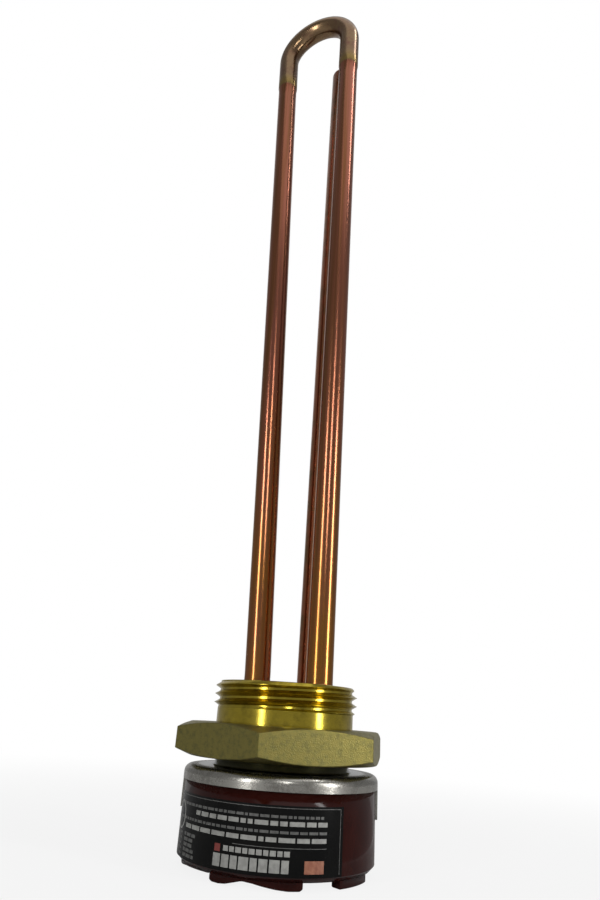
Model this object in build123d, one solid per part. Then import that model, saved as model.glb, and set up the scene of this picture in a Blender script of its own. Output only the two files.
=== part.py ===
from build123d import *
from math import asin, atan2, cos, hypot, pi, radians, sin, sqrt, tan
import os

os.makedirs("parts", exist_ok=True)

# Screw-in water heating element with a rod regulator on its dry side.
# Millimetres and degrees. The origin is on the plug's axis, on the sealing face
# of the hexagon. +Z runs along the element, and the hairpin stands near the XZ plane.

# Running and seating clearances, each measured on the radius or face to face
close_gap = 0.02
fit_gap = 0.05
slide_gap = 0.06
seat_gap = 0.1
turn_gap = 0.3

# How far a cutter passes the face that it opens, and how far a joined shape
# sinks into the shape that carries it
overcut = 1.0
overlap = 0.5

# Screw plug with a G 1 1/4 thread
thread_radius = 20.955
thread_length = 7.3
thread_end_chamfer = 1.4
thread_start_chamfer = 0.6
neck_radius = 19.8
neck_length = 4.0
relief_radius = 21.3
relief_depth = 0.4
hex_across_flats = 54.0
hex_height = 8.6
hex_chamfer_angle = 20.0
hex_chamfer_inset = 0.3
hex_corner_angle = -8.2

# Sheathed heating element, bent into a hairpin
leg_offset = 11.0
sheath_radius = 4.0
sheath_wall = 0.8
pressed_radius = 4.25
bend_radius = 15.2
bend_centre_height = 287.3
bend_twist = 6.6
knee_height = 14.2
upper_knee_height = 262.0
knee_radius = 60.0
pressed_start_height = 269.0
coil_radius = 1.9
coil_bore_radius = 1.32
coil_start_height = 37.0
pin_radius = 1.25
pin_overlap = 8.0
pin_tip_height = -20.3
seal_radius = 3.1
seal_top_height = -4.0
seal_tip_height = -11.2
braze_width = 1.6
braze_height = 1.5

# Pocket that keeps the regulator's rod dry
pocket_offset = 13.9
pocket_radius = 4.5
pocket_wall = 0.8
pocket_height = 290.0
pocket_cone_height = 4.0
pocket_nose_radius = 2.2

# Pressed steel cup between the plug and the regulator
sheet = 0.8
boss_radius = 18.6
boss_flare = 0.8
boss_height = 2.3
rim_radius = 27.25
rim_height = 3.6
rim_corner_radius = 2.0
boss_corner_radius = 0.9
tab_length = 7.4
tab_start_angle = 25.0
tab_span = 12.0
tab_hook_depth = 1.9
tab_side_gap = 0.5
seal_hole_radius = 3.7

# Screws that hold the cup to the plug
cup_screw_radius = 2.0
cup_screw_length = 6.0
cup_screw_head_radius = 3.5
cup_screw_head_height = 2.0
cup_screw_head_chamfer = 0.5
cup_screw_slot_width = 0.9
cup_screw_slot_depth = 0.8
cup_screw_gap = 0.2
cup_screw_circle = 13.0
cup_screw_angles = (-60.0, -120.0)

# Moulded regulator body
body_radius = 26.65
body_end_height = -33.5
body_end_chamfer = 1.2
body_wall = 2.35
floor_thickness = 2.5
body_top_chamfer = 1.6
lug_height = 1.9
lug_outer_radius = 25.3
lug_inner_radius = 22.4
lug_chamfer = 0.4
lug_angles = ((-140, -122), (-96, -77), (-66, -41), (-18, 10), (52, 76), (98, 122), (146, 172))
knob_boss_radius = 12.8
knob_boss_top = -25.0
post_radius = 3.4

# Rod regulator
stem_radius = 3.3
stem_wall = 0.5
stem_end_chamfer = 0.6
stem_height = 272.0
stem_collar_radius = 3.8
stem_collar_height = 1.0
rod_radius = 1.5
rod_tip_radius = 0.75
rod_tip_height = 0.8
lever_rod_gap = 0.15
lever_width = 7.0
lever_thickness = 1.2
lever_top = -16.2
lever_start_y = -2.8
lever_tail = 3.4
lever_arm_reach = 7.6
lever_arm_width = 3.0
lever_flange_length = 5.0
lever_flange_drop = 2.8
lever_pivot_y = 7.0
lever_pivot_drop = 1.2
lever_pin_radius = 1.0
lever_tip_radius = 0.9
ear_thickness = 1.8
ear_width = 4.4
ear_top_wall = 0.9
ear_gap = 0.4

# Adjusting screw, its bush and the dial
feed_radius = 1.4
feed_tip_radius = 0.5
feed_tip_length = 1.6
feed_tip_gap = 0.05
feed_flat = 1.0
bush_radius = 3.5
dial_radius = 11.0
dial_recess_depth = 2.2
dial_face_height = -35.0
dial_edge_chamfer = 0.5
dial_slot_width = 1.4
dial_slot_length = 11.0
dial_slot_depth = 1.0
dial_bore_depth = 2.2

# Supply terminals and the contacts
terminal_x = 7.8
terminal_y = -17.2
pocket_size_x = 8.2
pocket_size_y = 7.6
pocket_floor_height = -24.4
housing_top = -21.4
housing_wall = 1.2
clamp_size_x = 6.4
clamp_size_y = 6.0
clamp_bottom = -26.0
washer_thickness = 0.8
clamp_screw_radius = 2.0
clamp_screw_head_radius = 2.9
clamp_screw_head_height = 2.0
clamp_screw_head_chamfer = 0.4
clamp_screw_length = 3.8
clamp_screw_slot_width = 0.9
clamp_screw_slot_depth = 0.9
clamp_hole_depth = 3.4
washer_gap = 0.15
strip_thickness = 0.8
strip_width = 4.6
strip_bend_start = 6.0
strip_bend_end = 11.0
blade_thickness = 0.4
blade_width = 3.6
blade_x = 6.3
blade_tip_y = 3.0
blade_finger_gap = 0.25
contact_y = 1.2
contact_radius = 1.2
contact_post_radius = 2.0
contact_strip_width = 3.4
contact_height = 0.6
socket_radius = 2.2
socket_top = -13.4
socket_lead_in = 0.7

# Overheat disc and the reset button
button_x = 13.0
button_y = 10.9
button_radius = 3.0
button_face_height = -34.9
button_edge = 0.4
button_travel = 1.5
button_flange_radius = 3.8
button_flange_height = 1.0
button_guide_radius = 4.9
button_guide_top = -28.0
button_stem_radius = 1.2
holder_radius = 7.2
holder_wall = 1.0
holder_height = 4.5
holder_seat_radius = 5.2
holder_seat_height = 1.6
disc_radius = 6.0
disc_thickness = 0.35
disc_dome = 0.5
disc_clearance = 0.3
spring_radius = 2.1
spring_wire_radius = 0.25
spring_wire_sides = 6
spring_turns = 5

# Wrapped label
label_thickness = 0.12
label_top = -17.4
label_start_angle = -139.5
label_end_angle = -20.0


def cylinder(x, y, z_low, z_high, radius):
    """Upright cylinder between two heights."""
    seat = (Align.CENTER, Align.CENTER, Align.MIN)
    return Pos(x, y, z_low) * Cylinder(radius, z_high - z_low, align=seat)


def block(x_low, x_high, y_low, y_high, z_low, z_high):
    """Square block between two corners."""
    low = (Align.MIN, Align.MIN, Align.MIN)
    return Pos(x_low, y_low, z_low) * Box(x_high - x_low, y_high - y_low, z_high - z_low, align=low)


def turned(points, x=0, y=0, rounds=()):
    """Solid of revolution about an upright axis, from (radius, height) points.
    Each of rounds is (index of the point, corner radius)."""
    face = make_face(Polyline(*[(r, 0, z) for r, z in points], close=True))
    for index, radius in rounds:
        spot = Vector(points[index][0], 0, points[index][1])
        corner = min(face.vertices(), key=lambda v: (Vector(v.X, v.Y, v.Z) - spot).length)
        face = fillet(corner, radius)
    return Pos(x, y, 0) * revolve(face, Axis.Z)


def sector(inner, outer, z_low, z_high, start_angle, end_angle):
    """Part of a ring about the Z axis."""
    points = ((inner, 0, z_low), (outer, 0, z_low), (outer, 0, z_high), (inner, 0, z_high))
    face = make_face(Polyline(*points, close=True))
    return Rot(0, 0, start_angle) * revolve(face, Axis.Z, revolution_arc=end_angle - start_angle)


def polar(radius, angle):
    """Plan position at a radius and an angle from +X."""
    return radius * cos(radians(angle)), radius * sin(radians(angle))


# Heights that follow from the sizes above
thread_start_height = neck_length
plug_top = neck_length + thread_length
plug_bottom = -hex_height
boss_underside = plug_bottom - sheet
ring_top = plug_bottom - boss_height
ring_underside = ring_top - sheet
rim_bottom = ring_top - rim_height
tab_tip_height = rim_bottom - tab_length
skirt_radius = rim_radius - sheet
spigot_radius = skirt_radius - seat_gap
body_top = ring_underside
body_inner_radius = body_radius - body_wall
floor_top = body_end_height + floor_thickness
lug_end_height = body_end_height - lug_height
recess_floor = body_end_height + dial_recess_depth
lever_underside = lever_top - lever_thickness
pivot_height = lever_underside - lever_pivot_drop
strip_top = housing_top + strip_thickness
blade_underside = strip_top + 2 * contact_height
label_bottom = body_end_height + body_end_chamfer
holder_bottom = ring_underside - holder_height
button_flange_top = button_guide_top + button_flange_height + slide_gap

# Shape of the hairpin: its right leg is upright, and the bend lies in an upright
# plane through that leg, twisted a little out of line. The left leg leans out from
# its knee to an upper knee. From there it runs in the bend's plane, tangent to it.
knee_reach = 2 * leg_offset * cos(radians(bend_twist))
knee_to_centre_reach = knee_reach - bend_radius
knee_to_centre_height = bend_centre_height - knee_height
knee_to_centre = hypot(knee_to_centre_reach, knee_to_centre_height)
lean = asin(bend_radius / knee_to_centre) - atan2(knee_to_centre_reach, knee_to_centre_height)


def bend_point(reach, height):
    """Point in the bend's plane, at a distance from the right leg."""
    return Vector(leg_offset, 0, height) + Vector(-reach, 0, 0).rotate(Axis.Z, bend_twist)


def bend_arc_point(angle):
    """Centre of the bend at an angle from the right leg."""
    return bend_point(bend_radius * (1 - cos(angle)), bend_centre_height + bend_radius * sin(angle))


right_tangent = bend_arc_point(0)
crown_point = bend_arc_point((pi + lean) / 2)
left_tangent = bend_arc_point(pi + lean)
knee_point = Vector(-leg_offset, 0, knee_height)
upper_knee_drop = left_tangent.Z - upper_knee_height
upper_knee_reach = bend_radius * (1 + cos(lean)) - upper_knee_drop * tan(lean)
upper_knee_point = bend_point(upper_knee_reach, upper_knee_height)


def left_leg_point(height):
    """Centre of the left leg at a height."""
    if height <= knee_height:
        return Vector(-leg_offset, 0, height)
    start, end = knee_point, upper_knee_point
    if height > upper_knee_height:
        start, end = upper_knee_point, left_tangent
    return start + (end - start) * ((height - start.Z) / (end.Z - start.Z))


def left_run(low, high):
    """Centre line of the left leg between two heights."""
    knees = [left_leg_point(knee) for knee in (knee_height, upper_knee_height) if low < knee < high]
    points = [left_leg_point(low), *knees, left_leg_point(high)]
    if knees:
        return FilletPolyline(*points, radius=knee_radius)
    return Line(*points)


def hairpin_path(left_height, right_height):
    """Centre line up the left leg, round the bend and down the right leg."""
    up = left_run(left_height, left_tangent.Z)
    over = ThreePointArc(left_tangent, crown_point, right_tangent)
    down = Line(right_tangent, Vector(leg_offset, 0, right_height))
    return Wire(up.edges() + over.edges() + down.edges())


def along(path, radius):
    """Round bar along a centre line."""
    start = Plane(origin=path @ 0, z_dir=path % 0)
    return sweep(start * Circle(radius), path=path)


def make_hex_plug():
    """Brass screw plug with bores for the two legs and the pocket."""
    top_radius = hex_across_flats / 2 - hex_chamfer_inset
    corner_radius = hex_across_flats / sqrt(3) + overcut
    chamfer_drop = (corner_radius - top_radius) * tan(radians(hex_chamfer_angle))
    outline = RegularPolygon(hex_across_flats / 2, 6, major_radius=False, rotation=hex_corner_angle)
    blank = extrude(Pos(0, 0, plug_bottom) * outline, hex_height)
    bevel = turned([
        (0, plug_bottom),
        (top_radius, plug_bottom),
        (corner_radius, plug_bottom + chamfer_drop),
        (corner_radius, -chamfer_drop),
        (top_radius, 0),
        (0, 0),
    ])
    relief = sector(neck_radius, relief_radius, -relief_depth, overcut, 0, 360)
    spigot = turned([
        (0, plug_bottom / 2),
        (neck_radius, plug_bottom / 2),
        (neck_radius, thread_start_height),
        (thread_radius, thread_start_height + thread_start_chamfer),
        (thread_radius, plug_top - thread_end_chamfer),
        (thread_radius - thread_end_chamfer, plug_top),
        (0, plug_top),
    ])
    plug = (blank & bevel) - relief + spigot
    for x, y, radius in tube_seats:
        plug -= cylinder(x, y, plug_bottom - overcut, plug_top + overcut, radius + fit_gap)
    for angle in cup_screw_angles:
        x, y = polar(cup_screw_circle, angle)
        depth = cup_screw_length - sheet + overcut
        plug -= cylinder(x, y, plug_bottom - overcut, plug_bottom + depth, cup_screw_radius)
    return plug


tube_seats = (
    (-leg_offset, 0, sheath_radius),
    (leg_offset, 0, sheath_radius),
    (0, pocket_offset, pocket_radius),
)


def make_brazing_rings():
    """Filler left round each tube where it leaves the plug."""
    rings = []
    for x, y, radius in tube_seats:
        inner = radius + fit_gap
        points = [(inner, plug_top), (inner + braze_width, plug_top), (inner, plug_top + braze_height)]
        rings.append(turned(points, x, y))
    return Compound(children=rings)


def make_element_sheath():
    """Copper sheath, a little wider where the bend was pressed."""
    full = hairpin_path(plug_bottom, plug_bottom)
    pressed = hairpin_path(pressed_start_height, pressed_start_height)
    outside = along(full, sheath_radius) + along(pressed, pressed_radius)
    return outside - along(full, sheath_radius - sheath_wall)


def pin_paths():
    """Centre lines of the left and right terminal pins."""
    tip = pin_tip_height
    top = coil_start_height + pin_overlap
    left = Wire(left_run(tip, top).edges())
    right = Wire(Line((leg_offset, 0, tip), (leg_offset, 0, top)).edges())
    return left, right


def make_cold_pin(path):
    """Steel terminal pin inside the unheated end of a leg."""
    return along(path, pin_radius)


def make_resistance_coil():
    """Envelope of the wound resistance wire."""
    path = hairpin_path(coil_start_height, coil_start_height)
    return along(path, coil_radius) - along(path, coil_bore_radius)


def make_magnesia_filling():
    """Packed powder round the coil and the pins, and inside the coil."""
    outer = along(hairpin_path(seal_top_height, seal_top_height), sheath_radius - sheath_wall - close_gap)
    coil_path = hairpin_path(coil_start_height, coil_start_height)
    sleeve = outer - along(coil_path, coil_radius + close_gap)
    for path in pin_paths():
        sleeve -= along(path, pin_radius + close_gap)
    core_start = coil_start_height + pin_overlap + seat_gap
    core = along(hairpin_path(core_start, core_start), coil_bore_radius - close_gap)
    return Compound(children=[sleeve, core])


def make_end_seal(x):
    """Ceramic bead that closes the dry end of a leg."""
    bead = cylinder(x, 0, seal_tip_height, seal_top_height, seal_radius)
    return bead - cylinder(
        x, 0, seal_tip_height - overcut, seal_top_height + overcut, pin_radius + close_gap
    )


def closed_tube_points(outer, nose, wall, low, high, cone):
    """Outline of a tube with a coned closed end, as (radius, height) points."""
    return [
        (outer - wall, low),
        (outer, low),
        (outer, high - cone),
        (nose, high),
        (0, high),
        (0, high - wall),
        (nose - wall / 2, high - wall),
        (outer - wall, high - cone - wall / 2),
    ]


def make_stem_pocket():
    """Copper pocket beside the hairpin, closed at its wet end."""
    points = closed_tube_points(
        pocket_radius, pocket_nose_radius, pocket_wall, plug_bottom, pocket_height, pocket_cone_height
    )
    return turned(points, 0, pocket_offset)


def cup_hole(x, y, radius):
    """Cutter for a hole through the cup's boss."""
    return cylinder(x, y, boss_underside - overcut, plug_bottom + overcut, radius)


def make_mounting_cup():
    """Pressed steel cup: a raised boss, a flat ring, a turned-down rim and two tabs."""
    flare = boss_radius + boss_flare
    points = [
        (0, plug_bottom),
        (boss_radius, plug_bottom),
        (flare, ring_top),
        (rim_radius, ring_top),
        (rim_radius, rim_bottom),
        (skirt_radius, rim_bottom),
        (skirt_radius, ring_underside),
        (flare - sheet, ring_underside),
        (boss_radius - sheet, boss_underside),
        (0, boss_underside),
    ]
    rounds = (
        (1, boss_corner_radius),
        (2, boss_corner_radius / 2),
        (3, rim_corner_radius),
        (6, rim_corner_radius - sheet),
    )
    cup = turned(points, rounds=rounds)
    for side in (0, 180):
        start = tab_start_angle + side
        end = start + tab_span
        cup += sector(skirt_radius, rim_radius, tab_tip_height, rim_bottom + overlap, start, end)
        cup += sector(
            rim_radius - tab_hook_depth, rim_radius, tab_tip_height, tab_tip_height + sheet, start, end
        )
    for x in (-leg_offset, leg_offset):
        cup -= cup_hole(x, 0, seal_hole_radius)
    cup -= cup_hole(0, pocket_offset, stem_radius + fit_gap)
    for angle in cup_screw_angles:
        x, y = polar(cup_screw_circle, angle)
        cup -= cup_hole(x, y, cup_screw_radius + cup_screw_gap)
    return cup


def driver_slot(x, y, face, length, width, depth):
    """Cutter for a straight slot in a downward face, open at both ends."""
    return Pos(x, y, face) * Box(length + overcut, width, 2 * depth)


def make_cup_screws():
    """Two screws through the cup's boss into the plug."""
    screws = []
    for angle in cup_screw_angles:
        x, y = polar(cup_screw_circle, angle)
        head_low = boss_underside - cup_screw_head_height
        head = cylinder(x, y, head_low, boss_underside, cup_screw_head_radius)
        head = chamfer(head.edges().group_by(Axis.Z)[0], cup_screw_head_chamfer)
        shank_top = boss_underside + cup_screw_length
        shank = cylinder(x, y, boss_underside - overlap, shank_top, cup_screw_radius - fit_gap)
        slot = driver_slot(x, y, head_low, 2 * cup_screw_head_radius, cup_screw_slot_width, cup_screw_slot_depth)
        screws.append(head + shank - slot)
    return Compound(children=screws)


def terminal_centres():
    """Plan centres of the left and right supply terminals."""
    return (-terminal_x, terminal_y), (terminal_x, terminal_y)


def make_regulator_body():
    """Moulded body: a round shell, its end lugs, and the seats of all that it carries."""
    outline = [
        (0, body_end_height),
        (body_radius - body_end_chamfer, body_end_height),
        (body_radius, body_end_height + body_end_chamfer),
        (body_radius, rim_bottom - seat_gap),
        (spigot_radius, rim_bottom - seat_gap),
        (spigot_radius, body_top - body_top_chamfer),
        (spigot_radius - body_top_chamfer, body_top),
        (0, body_top),
    ]
    hollow = cylinder(0, 0, floor_top, body_top + overcut, body_inner_radius)
    body = turned(outline) - hollow
    inside = cylinder(0, 0, floor_top - overlap, body_top, body_inner_radius + overlap)

    for start, end in lug_angles:
        lug_root = body_end_height + overlap
        lug = sector(lug_inner_radius, lug_outer_radius, lug_end_height, lug_root, start, end)
        body += chamfer(lug.edges().group_by(Axis.Z)[0], lug_chamfer)

    body += cylinder(0, 0, floor_top - overlap, knob_boss_top, knob_boss_radius)
    for x in (-leg_offset, leg_offset):
        body += cylinder(x, 0, floor_top - overlap, housing_top, post_radius)
    body += cylinder(button_x, button_y, floor_top - overlap, button_guide_top, button_guide_radius)
    body += cylinder(blade_x, contact_y, floor_top - overlap, housing_top, contact_post_radius)

    ear_inner = lever_width / 2 + ear_gap
    ear_low_y = lever_pivot_y - ear_width / 2
    for side in (-1, 1):
        x_low = min(side * ear_inner, side * (ear_inner + ear_thickness))
        ear = block(
            x_low, x_low + ear_thickness, ear_low_y, ear_low_y + ear_width,
            floor_top - overlap, pivot_height + lever_pin_radius + ear_top_wall,
        )
        body += ear

    for x, y in terminal_centres():
        half_x = pocket_size_x / 2 + housing_wall
        half_y = pocket_size_y / 2 + housing_wall
        housing = block(
            x - half_x, x + half_x, y - half_y, y + half_y, floor_top - overlap, housing_top
        )
        body += housing & inside

    body -= cylinder(0, 0, body_end_height - overcut, recess_floor, dial_radius + turn_gap)
    body -= cylinder(0, 0, body_end_height, knob_boss_top + overcut, bush_radius + fit_gap)
    guide_low = body_end_height - overcut
    guide_high = button_guide_top + overcut
    body -= cylinder(button_x, button_y, guide_low, guide_high, button_radius + slide_gap)
    pin_reach = ear_inner + ear_thickness + overcut
    body -= across_x(pin_reach, lever_pivot_y, pivot_height, lever_pin_radius + close_gap)
    for x, y in terminal_centres():
        half_x = pocket_size_x / 2
        half_y = pocket_size_y / 2
        body -= block(
            x - half_x, x + half_x, y - half_y, y + half_y, lug_end_height - overcut, pocket_floor_height
        )
        half_x = clamp_size_x / 2 + fit_gap
        half_y = clamp_size_y / 2 + fit_gap
        body -= block(
            x - half_x, x + half_x, y - half_y, y + half_y,
            pocket_floor_height - overcut, housing_top + overcut,
        )
    for side in (0, 180):
        start = tab_start_angle + side - tab_side_gap
        end = start + tab_span + 2 * tab_side_gap
        body -= sector(
            skirt_radius - seat_gap, rim_radius, tab_tip_height - seat_gap, rim_bottom, start, end
        )
        body -= sector(
            rim_radius - tab_hook_depth - seat_gap, rim_radius, tab_tip_height - seat_gap,
            tab_tip_height + sheet + seat_gap, start, end,
        )
    return body


def across_x(reach, y, z, radius):
    """Cylinder along X, as long to each side of the middle."""
    return Pos(0, y, z) * Rot(0, 90, 0) * Cylinder(radius, 2 * reach)


def make_stem_tube():
    """Brass stem, closed at its far end, with a collar under the cup's boss."""
    points = closed_tube_points(
        stem_radius, stem_radius - stem_end_chamfer, stem_wall, boss_underside - stem_collar_height,
        stem_height, stem_end_chamfer,
    )
    stem = turned(points, 0, pocket_offset)
    low = boss_underside - stem_collar_height
    collar = cylinder(0, pocket_offset, low, boss_underside, stem_collar_radius)
    bore_radius = stem_radius - stem_wall
    collar -= cylinder(0, pocket_offset, low - overcut, boss_underside + overcut, bore_radius)
    return stem + collar


def make_invar_rod():
    """Rod inside the stem, joined to its closed end, with a rounded tip at the lever."""
    low = lever_top + lever_rod_gap
    high = stem_height - stem_wall
    points = [
        (0, low), (rod_tip_radius, low), (rod_radius, low + rod_tip_height), (rod_radius, high), (0, high),
    ]
    return turned(points, 0, pocket_offset)


def make_socket(x):
    """Sprung brass socket that grips a terminal pin."""
    bore = pin_radius + close_gap
    points = [
        (bore, strip_top),
        (socket_radius, strip_top),
        (socket_radius, socket_top),
        (bore + socket_lead_in, socket_top),
        (bore, socket_top - socket_lead_in),
    ]
    return turned(points, x, 0)


def flat_strip(points, z_low, z_high, width):
    """Flat metal strip along a bent centre line."""
    line = Polyline(*[(x, y) for x, y in points])
    face = trace(line, width)
    return extrude(Pos(0, 0, z_low) * face, z_high - z_low)


def make_neutral_strip():
    """Brass strip from the left socket to the left terminal."""
    end_y = terminal_y - clamp_size_y / 2
    points = (
        (-leg_offset, socket_radius), (-leg_offset, -strip_bend_start), (-terminal_x, -strip_bend_end),
        (-terminal_x, end_y),
    )
    return flat_strip(points, housing_top, strip_top, strip_width)


def make_fixed_contact():
    """Brass strip under the right socket that carries the fixed contact."""
    points = (
        (leg_offset + socket_radius, 0), (leg_offset, 0), (blade_x, contact_y),
        (blade_x - contact_radius, contact_y),
    )
    strip = flat_strip(points, housing_top, strip_top, contact_strip_width)
    tip_low = strip_top - strip_thickness / 2
    tip = cylinder(blade_x, contact_y, tip_low, strip_top + contact_height, contact_radius)
    return strip + tip


def make_contact_blade():
    """Springy blade from the right terminal with the moving contact at its tip."""
    start_y = terminal_y - clamp_size_y / 2
    low = blade_underside
    blade = flat_strip(((blade_x, start_y), (blade_x, blade_tip_y)), low, low + blade_thickness, blade_width)
    tip = cylinder(
        blade_x, contact_y, low - contact_height, low + blade_thickness / 2, contact_radius
    )
    return blade + tip


def make_terminal_block(x, top):
    """Brass terminal with a threaded hole for its clamping screw."""
    pad = block(
        x - clamp_size_x / 2, x + clamp_size_x / 2, terminal_y - clamp_size_y / 2,
        terminal_y + clamp_size_y / 2, clamp_bottom, top,
    )
    hole_top = clamp_bottom + clamp_hole_depth
    return pad - cylinder(x, terminal_y, clamp_bottom - overcut, hole_top, clamp_screw_radius + fit_gap)


def make_clamp_washers():
    """Square washers that press the wires against the terminals."""
    washers = []
    for x, y in terminal_centres():
        low = clamp_bottom - washer_thickness
        washer = block(
            x - clamp_size_x / 2, x + clamp_size_x / 2, y - clamp_size_y / 2, y + clamp_size_y / 2,
            low, clamp_bottom,
        )
        hole = cylinder(x, y, low - overcut, clamp_bottom + overcut, clamp_screw_radius + washer_gap)
        washers.append(washer - hole)
    return Compound(children=washers)


def make_clamp_screws():
    """Slotted screws in the supply terminals."""
    screws = []
    for x, y in terminal_centres():
        head_top = clamp_bottom - washer_thickness
        head_low = head_top - clamp_screw_head_height
        head = cylinder(x, y, head_low, head_top, clamp_screw_head_radius)
        head = chamfer(head.edges().group_by(Axis.Z)[0], clamp_screw_head_chamfer)
        shank = cylinder(x, y, head_top - overlap, head_top + clamp_screw_length, clamp_screw_radius)
        slot = driver_slot(
            x, y, head_low, 2 * clamp_screw_head_radius, clamp_screw_slot_width, clamp_screw_slot_depth
        )
        screws.append(head + shank - slot)
    return Compound(children=screws)


def make_control_lever():
    """Folded steel lever: a plate over two flanges, with an arm over the blade."""
    half = lever_width / 2
    plate_end = pocket_offset + lever_tail
    plate = block(-half, half, lever_start_y, plate_end, lever_underside, lever_top)
    plate += block(
        0, lever_arm_reach, contact_y - lever_arm_width / 2, contact_y + lever_arm_width / 2,
        lever_underside, lever_top,
    )
    flange_low_y = lever_pivot_y - lever_flange_length / 2
    for side in (-1, 1):
        x_low = min(side * half, side * (half - lever_thickness))
        plate += block(
            x_low, x_low + lever_thickness, flange_low_y, flange_low_y + lever_flange_length,
            lever_underside - lever_flange_drop, lever_top,
        )
    plate -= across_x(half + overcut, lever_pivot_y, pivot_height, lever_pin_radius + slide_gap)
    blade_top = blade_underside + blade_thickness
    finger = cylinder(
        blade_x, contact_y, blade_top + blade_finger_gap, lever_top - overlap, lever_tip_radius
    )
    return plate + finger


def make_lever_pin():
    """Pin that the lever rocks on, held in the body's two ears."""
    reach = lever_width / 2 + ear_gap + ear_thickness
    return across_x(reach, lever_pivot_y, pivot_height, lever_pin_radius)


def make_screw_bush():
    """Brass bush in the body for the adjusting screw."""
    bush = cylinder(0, 0, recess_floor, knob_boss_top, bush_radius)
    return bush - cylinder(0, 0, recess_floor - overcut, knob_boss_top + overcut, feed_radius + fit_gap)


def make_adjusting_screw():
    """Adjusting screw: a pointed tip at the lever and a flatted shank in the dial."""
    tip = lever_underside - feed_tip_gap
    low = recess_floor - dial_bore_depth + turn_gap
    points = [
        (0, low), (feed_radius, low), (feed_radius, tip - feed_tip_length), (feed_tip_radius, tip), (0, tip),
    ]
    screw = turned(points)
    reach = feed_radius + overcut
    flat = block(feed_flat, reach, -reach, reach, low - overcut, recess_floor - seat_gap)
    return screw - flat


def make_adjusting_dial():
    """Dial with a driver slot, recessed in the body's end."""
    top = recess_floor - seat_gap
    dial = cylinder(0, 0, dial_face_height, top, dial_radius)
    dial = chamfer(dial.edges().group_by(Axis.Z)[0], dial_edge_chamfer)
    low = top - dial_bore_depth
    bore = cylinder(0, 0, low, top + overcut, feed_radius + slide_gap)
    reach = feed_radius + overcut
    flat = block(feed_flat + slide_gap, reach, -reach, reach, low - overcut, top + overcut)
    slot = Pos(0, 0, dial_face_height) * Box(dial_slot_length, dial_slot_width, 2 * dial_slot_depth)
    return dial - (bore - flat) - slot


def make_reset_button():
    """Push button with a retaining flange and a stem that reaches the disc holder."""
    guide_end = button_flange_top - button_flange_height
    disc_underside = holder_bottom + holder_seat_height + disc_dome
    stem_end = disc_underside - disc_clearance - button_travel
    points = [
        (0, button_face_height),
        (button_radius - button_edge, button_face_height),
        (button_radius, button_face_height + button_edge),
        (button_radius, guide_end),
        (button_flange_radius, guide_end),
        (button_flange_radius, button_flange_top),
        (button_stem_radius, button_flange_top),
        (button_stem_radius, stem_end),
        (0, stem_end),
    ]
    return turned(points, button_x, button_y)


def make_reset_spring():
    """Compression spring between the button's flange and the disc holder."""
    low = button_flange_top + spring_wire_radius + fit_gap
    high = holder_bottom - spring_wire_radius - fit_gap
    path = Helix((high - low) / spring_turns, high - low, spring_radius)
    start = Plane(origin=path @ 0, z_dir=path % 0)
    section = start * RegularPolygon(spring_wire_radius, spring_wire_sides)
    return Pos(button_x, button_y, low) * sweep(section, path=path, is_frenet=True)


def make_disc_holder():
    """Ceramic holder that presses the overheat disc towards the cup."""
    bore = button_stem_radius + washer_gap
    points = [
        (bore, holder_bottom),
        (holder_radius, holder_bottom),
        (holder_radius, ring_underside),
        (holder_radius - holder_wall, ring_underside),
        (holder_radius - holder_wall, holder_bottom + holder_seat_height),
        (holder_seat_radius, holder_bottom + holder_seat_height),
        (holder_seat_radius, holder_bottom + holder_wall),
        (bore, holder_bottom + holder_wall),
    ]
    return turned(points, button_x, button_y)


def make_trip_disc():
    """Domed snap disc, resting on the holder's step."""
    low = holder_bottom + holder_seat_height
    points = [
        (0, low + disc_dome),
        (disc_radius / 2, low + disc_dome * 3 / 4),
        (disc_radius, low),
        (disc_radius, low + disc_thickness),
        (disc_radius / 2, low + disc_dome * 3 / 4 + disc_thickness),
        (0, low + disc_dome + disc_thickness),
    ]
    return turned(points, button_x, button_y)


def make_label_band():
    """Printed band wrapped round part of the body."""
    inner = body_radius + close_gap
    return sector(inner, inner + label_thickness, label_bottom, label_top, label_start_angle, label_end_angle)


left_pin_path, right_pin_path = pin_paths()

nodes = {
    "hex_plug": make_hex_plug(),
    "brazing_rings": make_brazing_rings(),
    "element_sheath": make_element_sheath(),
    "magnesia_filling": make_magnesia_filling(),
    "resistance_coil": make_resistance_coil(),
    "cold_pin_left": make_cold_pin(left_pin_path),
    "cold_pin_right": make_cold_pin(right_pin_path),
    "end_seal_left": make_end_seal(-leg_offset),
    "end_seal_right": make_end_seal(leg_offset),
    "stem_pocket": make_stem_pocket(),
    "mounting_cup": make_mounting_cup(),
    "cup_screws": make_cup_screws(),
    "regulator_body": make_regulator_body(),
    "stem_tube": make_stem_tube(),
    "invar_rod": make_invar_rod(),
    "socket_left": make_socket(-leg_offset),
    "socket_right": make_socket(leg_offset),
    "neutral_strip": make_neutral_strip(),
    "fixed_contact": make_fixed_contact(),
    "contact_blade": make_contact_blade(),
    "terminal_left": make_terminal_block(-terminal_x, housing_top),
    "terminal_right": make_terminal_block(terminal_x, blade_underside),
    "clamp_washers": make_clamp_washers(),
    "clamp_screws": make_clamp_screws(),
    "control_lever": make_control_lever(),
    "lever_pin": make_lever_pin(),
    "screw_bush": make_screw_bush(),
    "adjusting_screw": make_adjusting_screw(),
    "adjusting_dial": make_adjusting_dial(),
    "reset_button": make_reset_button(),
    "reset_spring": make_reset_spring(),
    "disc_holder": make_disc_holder(),
    "trip_disc": make_trip_disc(),
    "label_band": make_label_band(),
}

for name, shape in nodes.items():
    export_step(shape, f"parts/{name}.step")
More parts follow.
